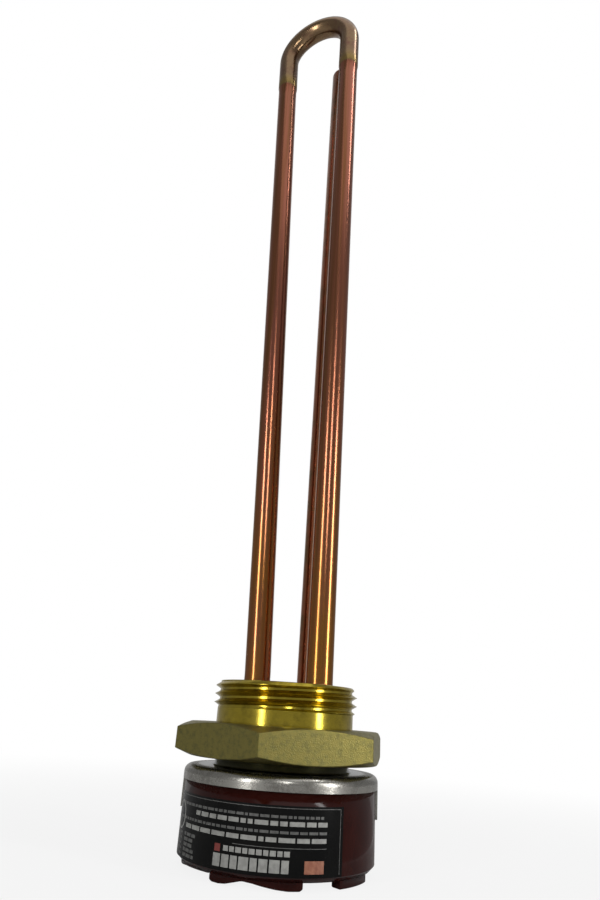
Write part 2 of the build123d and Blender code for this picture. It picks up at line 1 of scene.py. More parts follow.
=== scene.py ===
import bpy
import bmesh
import random
from math import asin, atan2, ceil, cos, degrees, hypot, pi, radians, sin, sqrt, tan
from mathutils import Matrix, Vector


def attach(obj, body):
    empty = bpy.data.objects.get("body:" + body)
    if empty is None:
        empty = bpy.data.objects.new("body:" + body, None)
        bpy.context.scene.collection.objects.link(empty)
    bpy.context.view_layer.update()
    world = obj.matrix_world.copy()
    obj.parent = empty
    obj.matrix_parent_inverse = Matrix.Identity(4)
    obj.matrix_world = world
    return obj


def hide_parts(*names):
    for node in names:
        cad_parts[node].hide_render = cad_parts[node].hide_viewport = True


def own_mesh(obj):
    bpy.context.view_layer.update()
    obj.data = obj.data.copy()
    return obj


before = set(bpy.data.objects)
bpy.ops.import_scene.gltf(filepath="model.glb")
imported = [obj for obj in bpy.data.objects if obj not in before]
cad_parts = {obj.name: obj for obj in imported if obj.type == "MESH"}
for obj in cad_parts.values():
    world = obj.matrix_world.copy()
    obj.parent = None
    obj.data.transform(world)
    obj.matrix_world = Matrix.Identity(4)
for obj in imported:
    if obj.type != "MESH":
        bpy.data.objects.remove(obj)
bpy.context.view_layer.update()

MM = 0.001

# Sizes of the pieces made here, in millimetres, as in the part's source
LEG_OFFSET = 11.0
SHEATH_RADIUS = 4.0
PRESSED_RADIUS = 4.25
BEND_RADIUS = 15.2
BEND_CENTRE_HEIGHT = 287.3
BEND_TWIST = 6.6
KNEE_HEIGHT = 14.2
UPPER_KNEE_HEIGHT = 262.0
KNEE_RADIUS = 60.0
PRESSED_START = 269.0
SWAGE_LENGTH = 0.9

POCKET_OFFSET = 13.9
POCKET_RADIUS = 4.5
POCKET_NOSE_RADIUS = 2.2
POCKET_TOP = 290.0
POCKET_CONE = 4.0

PLUG_BOTTOM = -8.6
PLUG_TOP = 11.3
NECK_RADIUS = 19.8
NECK_TOP = 4.0
THREAD_RADIUS = 20.955
THREAD_ROOT_RADIUS = 19.45
THREAD_PITCH = 2.309
THREAD_END_CHAMFER = 1.4
HEX_ACROSS_FLATS = 54.0
HEX_CORNER_ANGLE = -8.2
HEX_CHAMFER_ANGLE = 20.0
HEX_CHAMFER_INSET = 0.3

LABEL_RADIUS = 26.79
LABEL_MIDDLE = -57.2
PRINT_THICKNESS = 0.02

BODY_END = -33.5
LUG_DEPTH = 1.9
LUG_OUTER_RADIUS = 25.3
LUG_INNER_RADIUS = 22.4
BACK_LUGS = ((-18, 10), (52, 76), (98, 122), (146, 172))
# Depth of the wavy front lugs at angles round the body
LEFT_LUG = ((-140, 0.9), (-138, 1.25), (-134, 1.2), (-122, 0.6), (-110, 0.4), (-97, 0.3))
FRONT_LUG = (
    (-96, 1.55), (-94.5, 1.84), (-90, 1.9), (-85.5, 1.7), (-80, 1.1), (-75.5, 0.6), (-69.5, 0.8),
    (-64, 1.2), (-56.5, 1.65), (-49.5, 1.9), (-43, 1.86), (-41.5, 1.5),
)

DIAL_FACE = -35.0
DIAL_RADIUS = 11.0
SCALE_START = 90.0
SCALE_STEP = 40.0
SCALE_TICKS = 8

FLOOR_HEIGHT = -35.4

# Camera, from the photograph: its place, its aim and its lens
CAMERA_DISTANCE = 204.513
CAMERA_HEIGHT = 2.465
CAMERA_AZIMUTH = 32.8
CAMERA_YAW = -0.0039
CAMERA_PITCH = 0.3933
CAMERA_ROLL = 0.0667
FOCAL_PIXELS = 644.664
PHOTO_WIDTH = 600
PHOTO_HEIGHT = 900
SENSOR_MM = 36.0


# Level of the room's light, and how much of its white shows in reflections
ROOM_LEVEL = 0.24
ROOM_MIRROR = 0.03


# Mesh helpers

def finish_mesh(bm, name, material, body="heater", smooth_angle=35.0):
    """Turn a bmesh in millimetres into a smooth-shaded piece that rides on a body."""
    bmesh.ops.scale(bm, vec=(MM, MM, MM), verts=bm.verts)
    mesh = bpy.data.meshes.new(name)
    bm.to_mesh(mesh)
    bm.free()
    piece = bpy.data.objects.new(name, mesh)
    bpy.context.scene.collection.objects.link(piece)
    mesh.materials.append(material)
    mesh.shade_smooth()
    mesh.set_sharp_from_angle(angle=radians(smooth_angle))
    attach(piece, body)
    return piece


def edge_line(bm, points):
    """Open line of edges through points."""
    verts = [bm.verts.new(point) for point in points]
    return [bm.edges.new(pair) for pair in zip(verts, verts[1:])]


def turned(points, centre=(0, 0), steps=96, ring=False):
    """Turned shape about an upright axis, from (radius, height) points; a ring has a closed outline."""
    bm = bmesh.new()
    places = [(centre[0] + r, centre[1], z) for r, z in points]
    edges = edge_line(bm, places)
    if ring:
        bm.verts.ensure_lookup_table()
        edges.append(bm.edges.new((bm.verts[-1], bm.verts[0])))
    bmesh.ops.spin(
        bm, geom=list(bm.verts) + edges, cent=(centre[0], centre[1], 0), axis=(0, 0, 1),
        angle=2 * pi, steps=steps, use_merge=True, use_duplicate=False,
    )
    bmesh.ops.remove_doubles(bm, verts=bm.verts, dist=1e-4)
    bmesh.ops.recalc_face_normals(bm, faces=bm.faces)
    return bm


def rim_of(bm):
    """Edges with a single face."""
    return [edge for edge in bm.edges if len(edge.link_faces) < 2]


def pull(bm, edges, offset, cuts=1):
    """Extrude a loop of edges by an offset in several lengths, and return the new loop."""
    for _ in range(cuts):
        made = bmesh.ops.extrude_edge_only(bm, edges=edges)["geom"]
        verts = [item for item in made if isinstance(item, bmesh.types.BMVert)]
        edges = [item for item in made if isinstance(item, bmesh.types.BMEdge)]
        bmesh.ops.translate(bm, vec=Vector(offset) / cuts, verts=verts)
    return edges


def swing(bm, edges, centre, axis, angle, steps):
    """Spin a loop of edges about an axis, and return the new loop."""
    verts = list({vert for edge in edges for vert in edge.verts})
    made = bmesh.ops.spin(
        bm, geom=verts + list(edges), cent=centre, axis=axis, angle=angle, steps=steps,
        use_duplicate=False,
    )["geom_last"]
    return [item for item in made if isinstance(item, bmesh.types.BMEdge)]


def bend_over_knee(bm, edges, knee, before, after, radius, steps):
    """Round a corner of a tube: edges end at the start of the rounding, at its tangent point."""
    axis = before.cross(after).normalized()
    centre = knee - before * radius * tan(before.angle(after) / 2) + axis.cross(before) * radius
    return swing(bm, edges, centre, axis, before.angle(after), steps)


def swell(bm, edges, offset, factor):
    """Extrude a loop of edges by an offset to a wider or narrower loop."""
    edges = pull(bm, edges, offset)
    verts = list({vert for edge in edges for vert in edge.verts})
    middle = sum((vert.co for vert in verts), Vector()) / len(verts)
    bmesh.ops.scale(
        bm, vec=(factor, factor, factor), verts=verts, space=Matrix.Translation(-middle)
    )
    return edges


# Material helpers

def connect(tree, socket, value):
    """Link a socket to an output, or set its value."""
    if isinstance(value, bpy.types.NodeSocket):
        tree.links.new(value, socket)
    else:
        socket.default_value = value


def add_node(tree, kind, settings=(), inputs=()):
    """Add a node with its settings and its inputs by name or place."""
    made = tree.nodes.new(kind)
    for name, value in dict(settings).items():
        setattr(made, name, value)
    for name, value in dict(inputs).items():
        connect(tree, made.inputs[name], value)
    return made


def calculate(tree, operation, first, second=0.0, third=0.0, clamp=False):
    """Math node."""
    made = add_node(tree, "ShaderNodeMath", {"operation": operation, "use_clamp": clamp})
    for socket, value in zip(made.inputs, (first, second, third)):
        connect(tree, socket, value)
    return made.outputs[0]


def remap(tree, value, low, high, out_low=0.0, out_high=1.0, smooth=False):
    """Map Range node, clamped."""
    made = add_node(
        tree, "ShaderNodeMapRange",
        {"interpolation_type": "SMOOTHSTEP" if smooth else "LINEAR"},
        {"Value": value, "From Min": low, "From Max": high, "To Min": out_low, "To Max": out_high},
    )
    return made.outputs["Result"]


def mix_colour(tree, factor, first, second, blend="MIX"):
    """Mix two colours."""
    made = add_node(tree, "ShaderNodeMix", {"data_type": "RGBA", "blend_type": blend})
    connect(tree, made.inputs[0], factor)
    connect(tree, made.inputs[6], first)
    connect(tree, made.inputs[7], second)
    return made.outputs[2]


def noise(tree, vector, scale, detail=3.0, roughness=0.55):
    """Noise texture value."""
    made = add_node(
        tree, "ShaderNodeTexNoise", {},
        {"Vector": vector, "Scale": scale, "Detail": detail, "Roughness": roughness},
    )
    return made.outputs["Fac"]


def object_place(tree, stretch=(1.0, 1.0, 1.0)):
    """Object coordinates, stretched along the axes."""
    place = add_node(tree, "ShaderNodeTexCoord").outputs["Object"]
    return add_node(tree, "ShaderNodeMapping", {}, {"Vector": place, "Scale": stretch}).outputs["Vector"]


def new_group(name, inputs, outputs):
    """Shader node group with named inputs and outputs."""
    tree = bpy.data.node_groups.new(name, "ShaderNodeTree")
    for label, kind, value in inputs:
        socket = tree.interface.new_socket(label, in_out="INPUT", socket_type=kind)
        if value is not None:
            socket.default_value = value
    for label, kind in outputs:
        tree.interface.new_socket(label, in_out="OUTPUT", socket_type=kind)
    entry = add_node(tree, "NodeGroupInput")
    leave = add_node(tree, "NodeGroupOutput")
    return tree, entry.outputs, leave.inputs


def use_group(tree, group, inputs):
    """Place a node group in a material and return its outputs."""
    made = add_node(tree, "ShaderNodeGroup", {"node_tree": group}, inputs)
    return made.outputs


def new_material(name, **values):
    """Material with a Principled shader whose plain values are set by name."""
    material = bpy.data.materials.new(name)
    material.use_nodes = True
    tree = material.node_tree
    shader = tree.nodes["Principled BSDF"]
    for label, value in values.items():
        shader.inputs[label.replace("_", " ")].default_value = value
    return material, tree, shader


def raise_skin(tree, shader, height, distance, strength=1.0):
    """Bump from a height, with its depth in millimetres."""
    bump = add_node(
        tree, "ShaderNodeBump", {},
        {"Height": height, "Distance": distance * MM, "Strength": strength},
    )
    tree.links.new(bump.outputs["Normal"], shader.inputs["Normal"])


def make_patina_group():
    """Worn metal: blotches of tarnish over a clean colour, with fine grain."""
    tree, given, result = new_group(
        "patina",
        (
            ("Place", "NodeSocketVector", None),
            ("Grain Place", "NodeSocketVector", None),
            ("Clean", "NodeSocketColor", (0.8, 0.8, 0.8, 1)),
            ("Tarnish", "NodeSocketColor", (0.2, 0.2, 0.2, 1)),
            ("Cover", "NodeSocketFloat", 0.5),
            ("Blotch Scale", "NodeSocketFloat", 200.0),
            ("Grain Scale", "NodeSocketFloat", 2000.0),
            ("Roughness", "NodeSocketFloat", 0.3),
            ("Roughness Spread", "NodeSocketFloat", 0.1),
        ),
        (
            ("Colour", "NodeSocketColor"),
            ("Roughness", "NodeSocketFloat"),
            ("Height", "NodeSocketFloat"),
        ),
    )
    broad = noise(tree, given["Place"], given["Blotch Scale"], 4.0, 0.6)
    grain = noise(tree, given["Grain Place"], given["Grain Scale"], 2.0, 0.5)
    both = calculate(tree, "MULTIPLY_ADD", grain, 0.35, calculate(tree, "MULTIPLY", broad, 0.65))
    edge = calculate(tree, "SUBTRACT", 1.0, given["Cover"])
    amount = remap(
        tree, both, calculate(tree, "MULTIPLY_ADD", edge, 0.5, 0.18),
        calculate(tree, "MULTIPLY_ADD", edge, 0.5, 0.42), smooth=True,
    )
    connect(tree, result["Colour"], mix_colour(tree, amount, given["Clean"], given["Tarnish"]))
    spread = calculate(tree, "MULTIPLY", given["Roughness Spread"], calculate(tree, "SUBTRACT", both, 0.5))
    wear = calculate(tree, "MULTIPLY_ADD", spread, 2.0, given["Roughness"], clamp=True)
    connect(tree, result["Roughness"], wear)
    connect(tree, result["Height"], grain)
    return tree


patina = make_patina_group()


def worn_metal(name, clean, tarnish, cover, blotch, grain, roughness, spread, stretch, bump, **values):
    """Metal with patina: blotch and grain are pattern sizes in millimetres."""
    material, tree, shader = new_material(name, Metallic=1.0, **values)
    skin = use_group(tree, patina, {
        "Place": object_place(tree),
        "Grain Place": object_place(tree, stretch),
        "Clean": clean,
        "Tarnish": tarnish,
        "Cover": cover,
        "Blotch Scale": 1 / (blotch * MM),
        "Grain Scale": 1 / (grain * MM),
        "Roughness": roughness,
        "Roughness Spread": spread,
    })
    tree.links.new(skin["Colour"], shader.inputs["Base Color"])
    tree.links.new(skin["Roughness"], shader.inputs["Roughness"])
    raise_skin(tree, shader, skin["Height"], bump)
    return material


def make_sheath_copper():
    """Drawn copper legs, duller and browner round the pressed bend, warmer near the plug."""
    material, tree, shader = new_material("sheath_copper", Metallic=1.0)
    place = object_place(tree)
    streak_place = object_place(tree, (1.0, 1.0, 0.012))
    drawn = use_group(tree, patina, {
        "Place": streak_place,
        "Grain Place": streak_place,
        "Clean": (0.35, 0.125, 0.08, 1),
        "Tarnish": (0.22, 0.09, 0.035, 1),
        "Cover": 0.55,
        "Blotch Scale": 260.0,
        "Grain Scale": 1500.0,
        "Roughness": 0.21,
        "Roughness Spread": 0.08,
    })
    pressed = use_group(tree, patina, {
        "Place": place,
        "Grain Place": place,
        "Clean": (0.24, 0.155, 0.085, 1),
        "Tarnish": (0.18, 0.085, 0.06, 1),
        "Cover": 0.5,
        "Blotch Scale": 110.0,
        "Grain Scale": 900.0,
        "Roughness": 0.24,
        "Roughness Spread": 0.1,
    })
    height = add_node(tree, "ShaderNodeSeparateXYZ", {}, {"Vector": place}).outputs["Z"]
    wobble = calculate(tree, "MULTIPLY", noise(tree, place, 220.0), 1.2 * MM)
    level = calculate(tree, "ADD", height, wobble)
    warm = remap(tree, height, 150 * MM, 12 * MM, 0.0, 0.75, smooth=True)
    spots = noise(tree, object_place(tree, (1.0, 1.0, 0.12)), 210.0, 3.0)
    warm = calculate(tree, "MULTIPLY", warm, remap(tree, spots, 0.35, 0.65, 0.3, 1.0, smooth=True))
    lower = mix_colour(tree, warm, drawn["Colour"], (0.40, 0.17, 0.03, 1))
    zone = remap(tree, level, (PRESSED_START + 0.2) * MM, (PRESSED_START + 1.4) * MM, smooth=True)
    ring_low = remap(tree, level, (PRESSED_START + 0.4) * MM, (PRESSED_START + 1.6) * MM, smooth=True)
    ring_high = remap(tree, level, (PRESSED_START + 8) * MM, (PRESSED_START + 2) * MM, smooth=True)
    ring = calculate(tree, "MULTIPLY", ring_low, ring_high)
    bent = mix_colour(tree, calculate(tree, "MULTIPLY", ring, 0.6), pressed["Colour"], (0.33, 0.23, 0.06, 1))
    tree.links.new(mix_colour(tree, zone, lower, bent), shader.inputs["Base Color"])
    rough = add_node(tree, "ShaderNodeMix", {"data_type": "FLOAT"})
    connect(tree, rough.inputs[0], zone)
    connect(tree, rough.inputs[2], drawn["Roughness"])
    connect(tree, rough.inputs[3], pressed["Roughness"])
    tree.links.new(rough.outputs[0], shader.inputs["Roughness"])
    raise_skin(tree, shader, drawn["Height"], 0.008)
    return material


def make_cup_zinc():
    """Zinc-plated cup: a bright boss with painted shade and dark reflection in its colour, and a paler dull rim
    band.
    """
    material, tree, shader = new_material("cup_zinc", Metallic=1.0)
    place = object_place(tree)
    skin = use_group(tree, patina, {
        "Place": place,
        "Grain Place": place,
        "Clean": (0.36, 0.35, 0.32, 1),
        "Tarnish": (0.22, 0.21, 0.19, 1),
        "Cover": 0.5,
        "Blotch Scale": 160.0,
        "Grain Scale": 1800.0,
        "Roughness": 0.27,
        "Roughness Spread": 0.14,
    })
    parts = add_node(tree, "ShaderNodeSeparateXYZ", {}, {"Vector": place})
    across = calculate(tree, "SQRT", calculate(
        tree, "ADD", calculate(tree, "POWER", parts.outputs["X"], 2.0),
        calculate(tree, "POWER", parts.outputs["Y"], 2.0),
    ))
    boss_shade_and_gloss = remap(tree, across, 24.5 * MM, 22.5 * MM, smooth=True)
    # The boss's darker base colour is painted shade and dark reflection under the hexagon; the same mask also
    # makes the boss smoother.
    tree.links.new(mix_colour(tree, boss_shade_and_gloss, skin["Colour"], (0.16, 0.17, 0.165, 1)), shader.inputs["Base Color"])
    rough = add_node(tree, "ShaderNodeMix", {"data_type": "FLOAT"})
    connect(tree, rough.inputs[0], boss_shade_and_gloss)
    connect(tree, rough.inputs[2], skin["Roughness"])
    connect(tree, rough.inputs[3], calculate(tree, "MULTIPLY", skin["Roughness"], 0.4))
    tree.links.new(rough.outputs[0], shader.inputs["Roughness"])
    raise_skin(tree, shader, skin["Height"], 0.01)
    return material


def make_clouded_group():
    """Moulded, fired or printed skin: clouds in its colour and its gloss, and a faint relief."""
    tree, given, result = new_group(
        "clouded",
        (
            ("Place", "NodeSocketVector", None),
            ("Colour", "NodeSocketColor", (0.5, 0.5, 0.5, 1)),
            ("Fleck", "NodeSocketColor", (0.6, 0.6, 0.6, 1)),
            ("Cloud Scale", "NodeSocketFloat", 160.0),
            ("Grit Scale", "NodeSocketFloat", 1500.0),
            ("Roughness", "NodeSocketFloat", 0.3),
            ("Roughness Spread", "NodeSocketFloat", 0.1),
        ),
        (
            ("Colour", "NodeSocketColor"),
            ("Roughness", "NodeSocketFloat"),
            ("Height", "NodeSocketFloat"),
        ),
    )
    cloud = noise(tree, given["Place"], given["Cloud Scale"], 4.0, 0.6)
    grit = noise(tree, given["Place"], given["Grit Scale"], 2.0, 0.5)
    amount = remap(tree, cloud, 0.3, 0.7, smooth=True)
    connect(tree, result["Colour"], mix_colour(tree, amount, given["Colour"], given["Fleck"]))
    spread = calculate(tree, "MULTIPLY", given["Roughness Spread"], calculate(tree, "SUBTRACT", cloud, 0.5))
    connect(tree, result["Roughness"], calculate(tree, "ADD", given["Roughness"], spread, clamp=True))
    connect(tree, result["Height"], calculate(tree, "MULTIPLY_ADD", grit, 0.3, cloud))
    return tree


clouded = make_clouded_group()


def clouded_material(name, colour, fleck, roughness, spread, cloud, grit, bump, **values):
    """Material with a clouded skin: cloud and grit are pattern sizes in millimetres."""
    material, tree, shader = new_material(name, **values)
    skin = use_group(tree, clouded, {
        "Place": object_place(tree),
        "Colour": colour,
        "Fleck": fleck,
        "Cloud Scale": 1 / (cloud * MM),
        "Grit Scale": 1 / (grit * MM),
        "Roughness": roughness,
        "Roughness Spread": spread,
    })
    tree.links.new(skin["Colour"], shader.inputs["Base Color"])
    tree.links.new(skin["Roughness"], shader.inputs["Roughness"])
    raise_skin(tree, shader, skin["Height"], bump)
    return material


EVEN = (1.0, 1.0, 1.0)
ALONG = (1.0, 1.0, 0.015)
sheath_copper = make_sheath_copper()
cup_zinc = make_cup_zinc()
pocket_copper = worn_metal(
    "pocket_copper", (0.38, 0.14, 0.07, 1), (0.2, 0.105, 0.04, 1), 0.5, 4.5, 0.7, 0.2, 0.08, ALONG, 0.008
)
thread_brass = worn_metal(
    "thread_brass", (0.48, 0.37, 0.045, 1), (0.30, 0.23, 0.03, 1), 0.5, 3.0, 0.6, 0.17, 0.1,
    (1.0, 1.0, 6.0), 0.004,
)
hex_brass = worn_metal(
    "hex_brass", (0.25, 0.215, 0.065, 1), (0.165, 0.15, 0.055, 1), 0.5, 1.4, 0.3, 0.40, 0.14, EVEN, 0.06
)
zinc = worn_metal(
    "zinc_plate", (0.56, 0.57, 0.53, 1), (0.36, 0.37, 0.34, 1), 0.4, 6.0, 0.5, 0.26, 0.12, EVEN, 0.01
)
screw_zinc = worn_metal(
    "screw_zinc", (0.60, 0.60, 0.55, 1), (0.42, 0.41, 0.34, 1), 0.4, 3.0, 0.4, 0.28, 0.1, EVEN, 0.008
)
turned_brass = worn_metal(
    "turned_brass", (0.72, 0.54, 0.17, 1), (0.46, 0.33, 0.1, 1), 0.4, 3.0, 0.4, 0.25, 0.1, EVEN, 0.008
)
strip_brass = worn_metal(
    "strip_brass", (0.74, 0.57, 0.20, 1), (0.5, 0.36, 0.12, 1), 0.35, 5.0, 0.3, 0.32, 0.1, (1.0, 0.1, 1.0), 0.006
)
stem_brass = worn_metal(
    "stem_brass", (0.66, 0.50, 0.17, 1), (0.4, 0.28, 0.09, 1), 0.45, 4.0, 0.4, 0.25, 0.1, ALONG, 0.006
)
bronze = worn_metal(
    "spring_bronze", (0.62, 0.38, 0.17, 1), (0.36, 0.19, 0.08, 1), 0.4, 4.0, 0.3, 0.3, 0.1, (0.1, 1.0, 1.0), 0.005
)
rod_steel = worn_metal(
    "rod_steel", (0.50, 0.49, 0.46, 1), (0.36, 0.34, 0.31, 1), 0.4, 5.0, 0.3, 0.3, 0.08, ALONG, 0.005
)
spring_steel = worn_metal(
    "spring_steel", (0.42, 0.42, 0.41, 1), (0.25, 0.24, 0.22, 1), 0.4, 1.5, 0.2, 0.3, 0.1, EVEN, 0.004
)
coil_wire = worn_metal(
    "coil_wire", (0.30, 0.28, 0.26, 1), (0.14, 0.13, 0.12, 1), 0.6, 2.0, 0.5, 0.5, 0.12, (0.2, 0.2, 1.0), 0.08
)
disc_metal = worn_metal(
    "disc_metal", (0.52, 0.48, 0.42, 1), (0.34, 0.30, 0.25, 1), 0.4, 4.0, 0.25, 0.34, 0.1, (0.1, 1.0, 1.0), 0.004
)
filler = worn_metal(
    "braze_filler", (0.40, 0.20, 0.09, 1), (0.1, 0.06, 0.035, 1), 0.6, 1.5, 0.4, 0.42, 0.15, EVEN, 0.08
)
resin = clouded_material(
    "red_brown_resin", (0.020, 0.0026, 0.0016, 1), (0.028, 0.0045, 0.003, 1), 0.1, 0.06, 6.0, 0.8, 0.02,
    Specular_IOR_Level=0.2,
)
black_resin = clouded_material(
    "black_resin", (0.010, 0.010, 0.010, 1), (0.016, 0.016, 0.015, 1), 0.28, 0.1, 6.0, 0.5, 0.02
)
red_resin = clouded_material(
    "red_resin", (0.45, 0.02, 0.012, 1), (0.52, 0.03, 0.018, 1), 0.3, 0.1, 4.0, 0.5, 0.015
)
label_film = clouded_material(
    "label_film", (0.003, 0.0032, 0.0032, 1), (0.005, 0.005, 0.0047, 1), 0.16, 0.08, 9.0, 1.2, 0.02,
    Specular_IOR_Level=0.12,
)
magnesia = clouded_material(
    "magnesia", (0.78, 0.77, 0.73, 1), (0.68, 0.67, 0.64, 1), 0.9, 0.1, 2.0, 0.2, 0.05
)
ceramic = clouded_material(
    "ceramic", (0.74, 0.72, 0.66, 1), (0.64, 0.62, 0.56, 1), 0.55, 0.15, 3.0, 0.25, 0.02
)
white_ink = clouded_material(
    "white_ink", (0.34, 0.34, 0.32, 1), (0.24, 0.24, 0.225, 1), 0.4, 0.1, 1.2, 0.2, 0.002
)
grey_ink = clouded_material(
    "grey_ink", (0.12, 0.12, 0.115, 1), (0.07, 0.07, 0.066, 1), 0.4, 0.1, 0.8, 0.2, 0.002
)
red_ink = clouded_material(
    "red_ink", (0.22, 0.035, 0.03, 1), (0.16, 0.03, 0.02, 1), 0.4, 0.1, 1.2, 0.2, 0.002
)
orange_ink = clouded_material(
    "orange_ink", (0.36, 0.15, 0.085, 1), (0.22, 0.07, 0.04, 1), 0.4, 0.1, 1.6, 0.2, 0.002
)


# Pieces

def bend_point(reach, height):
    """Point in the bend's plane, at a distance from the right leg."""
    return Matrix.Rotation(radians(BEND_TWIST), 3, "Z") @ Vector((-reach, 0, height)) + Vector((LEG_OFFSET, 0, 0))


def make_sheath():
    """Hairpin sheath: up the leaning left leg, round the pressed bend, down the right leg."""
    knee_to_centre = Vector((
        2 * LEG_OFFSET * cos(radians(BEND_TWIST)) - BEND_RADIUS, BEND_CENTRE_HEIGHT - KNEE_HEIGHT
    ))
    lean = asin(BEND_RADIUS / knee_to_centre.length) - atan2(knee_to_centre.x, knee_to_centre.y)
    tangent_height = BEND_CENTRE_HEIGHT - BEND_RADIUS * sin(lean)
    tangent_reach = BEND_RADIUS * (1 + cos(lean))
    tangent = bend_point(tangent_reach, tangent_height)
    upper_reach = tangent_reach - (tangent_height - UPPER_KNEE_HEIGHT) * tan(lean)
    upper_knee = bend_point(upper_reach, UPPER_KNEE_HEIGHT)
    knee = Vector((-LEG_OFFSET, 0, KNEE_HEIGHT))
    up = Vector((0, 0, 1))
    along_leg = (upper_knee - knee).normalized()
    along_top = (tangent - upper_knee).normalized()
    knee_half = KNEE_RADIUS * tan(up.angle(along_leg) / 2)
    upper_half = KNEE_RADIUS * tan(along_leg.angle(along_top) / 2)
    leg_length = (upper_knee - knee).length - knee_half - upper_half
    to_ring = (PRESSED_START - UPPER_KNEE_HEIGHT) / along_top.z - upper_half
    to_bend = (tangent - upper_knee).length - upper_half - to_ring - SWAGE_LENGTH
    bend_axis = along_top.cross(bend_point(0, 0) - bend_point(1, 0)).normalized()

    bm = bmesh.new()
    bmesh.ops.create_circle(
        bm, cap_ends=False, segments=48, radius=SHEATH_RADIUS,
        matrix=Matrix.Translation((-LEG_OFFSET, 0, PLUG_BOTTOM)),
    )
    loop = pull(bm, list(bm.edges), up * (KNEE_HEIGHT - knee_half - PLUG_BOTTOM), 4)
    loop = bend_over_knee(bm, loop, knee, up, along_leg, KNEE_RADIUS, 3)
    loop = pull(bm, loop, along_leg * leg_length, 40)
    loop = bend_over_knee(bm, loop, upper_knee, along_leg, along_top, KNEE_RADIUS, 2)
    loop = pull(bm, loop, along_top * to_ring, 1)
    wider = PRESSED_RADIUS / SHEATH_RADIUS
    loop = swell(bm, loop, along_top * SWAGE_LENGTH, wider)
    loop = pull(bm, loop, along_top * to_bend, 4)
    centre = bend_point(BEND_RADIUS, BEND_CENTRE_HEIGHT)
    loop = swing(bm, loop, centre, bend_axis, pi + lean, 64)
    loop = pull(bm, loop, up * (PRESSED_START + SWAGE_LENGTH - BEND_CENTRE_HEIGHT), 4)
    loop = swell(bm, loop, up * -SWAGE_LENGTH, 1 / wider)
    pull(bm, loop, up * (PLUG_BOTTOM - PRESSED_START), 44)
    bmesh.ops.recalc_face_normals(bm, faces=bm.faces)
    bmesh.ops.solidify(bm, geom=bm.faces[:], thickness=0.8)
    piece = finish_mesh(bm, "hairpin_sheath", sheath_copper)
    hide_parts("element_sheath")
    return piece


def make_pocket():
    """Sensor pocket with a coned, slightly rounded end."""
    shoulder = POCKET_TOP - POCKET_CONE
    inner = POCKET_RADIUS - 0.8
    points = [
        (inner, PLUG_BOTTOM),
        (POCKET_RADIUS, PLUG_BOTTOM),
        (POCKET_RADIUS, shoulder - 0.5),
        (POCKET_RADIUS - 0.06, shoulder - 0.1),
        (POCKET_RADIUS - 0.25, shoulder + 0.35),
        (POCKET_NOSE_RADIUS + 0.35, POCKET_TOP - 0.7),
        (POCKET_NOSE_RADIUS + 0.1, POCKET_TOP - 0.25),
        (POCKET_NOSE_RADIUS - 0.3, POCKET_TOP - 0.03),
        (POCKET_NOSE_RADIUS * 0.5, POCKET_TOP),
        (0, POCKET_TOP),
    ]
    bm = turned(points, (0, POCKET_OFFSET), 48)
    piece = finish_mesh(bm, "sensor_pocket", pocket_copper)
    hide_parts("stem_pocket")
    return piece


def make_braze():
    """Thin fillets of filler where the tubes leave the plug."""
    bm = bmesh.new()
    for centre, radius in (
        ((-LEG_OFFSET, 0), SHEATH_RADIUS), ((LEG_OFFSET, 0), SHEATH_RADIUS), ((0, POCKET_OFFSET), POCKET_RADIUS)
    ):
        fillet = turned(
            [
                (radius - 0.15, PLUG_TOP - 0.3), (radius + 0.5, PLUG_TOP - 0.3), (radius + 0.5, PLUG_TOP),
                (radius + 0.28, PLUG_TOP + 0.1), (radius + 0.1, PLUG_TOP + 0.34), (radius - 0.15, PLUG_TOP + 0.6),
            ],
            centre, 48, ring=True,
        )
        mesh = bpy.data.meshes.new("fillet")
        fillet.to_mesh(mesh)
        fillet.free()
        bm.from_mesh(mesh)
        bpy.data.meshes.remove(mesh)
    piece = finish_mesh(bm, "braze_fillets", filler)
    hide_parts("brazing_rings")


def thread_envelope(height):
    """Least and greatest radius of the threaded end at a height."""
    start_slope = NECK_RADIUS + max(height - NECK_TOP, 0) * 1.3
    end_slope = THREAD_RADIUS + (PLUG_TOP - THREAD_END_CHAMFER - height)
    greatest = min(THREAD_RADIUS, start_slope, max(end_slope, 0))
    fade = min(max((height - NECK_TOP) / 1.2, 0), 1)
    least = NECK_RADIUS + (THREAD_ROOT_RADIUS - NECK_RADIUS) * fade
    return min(least, greatest), greatest


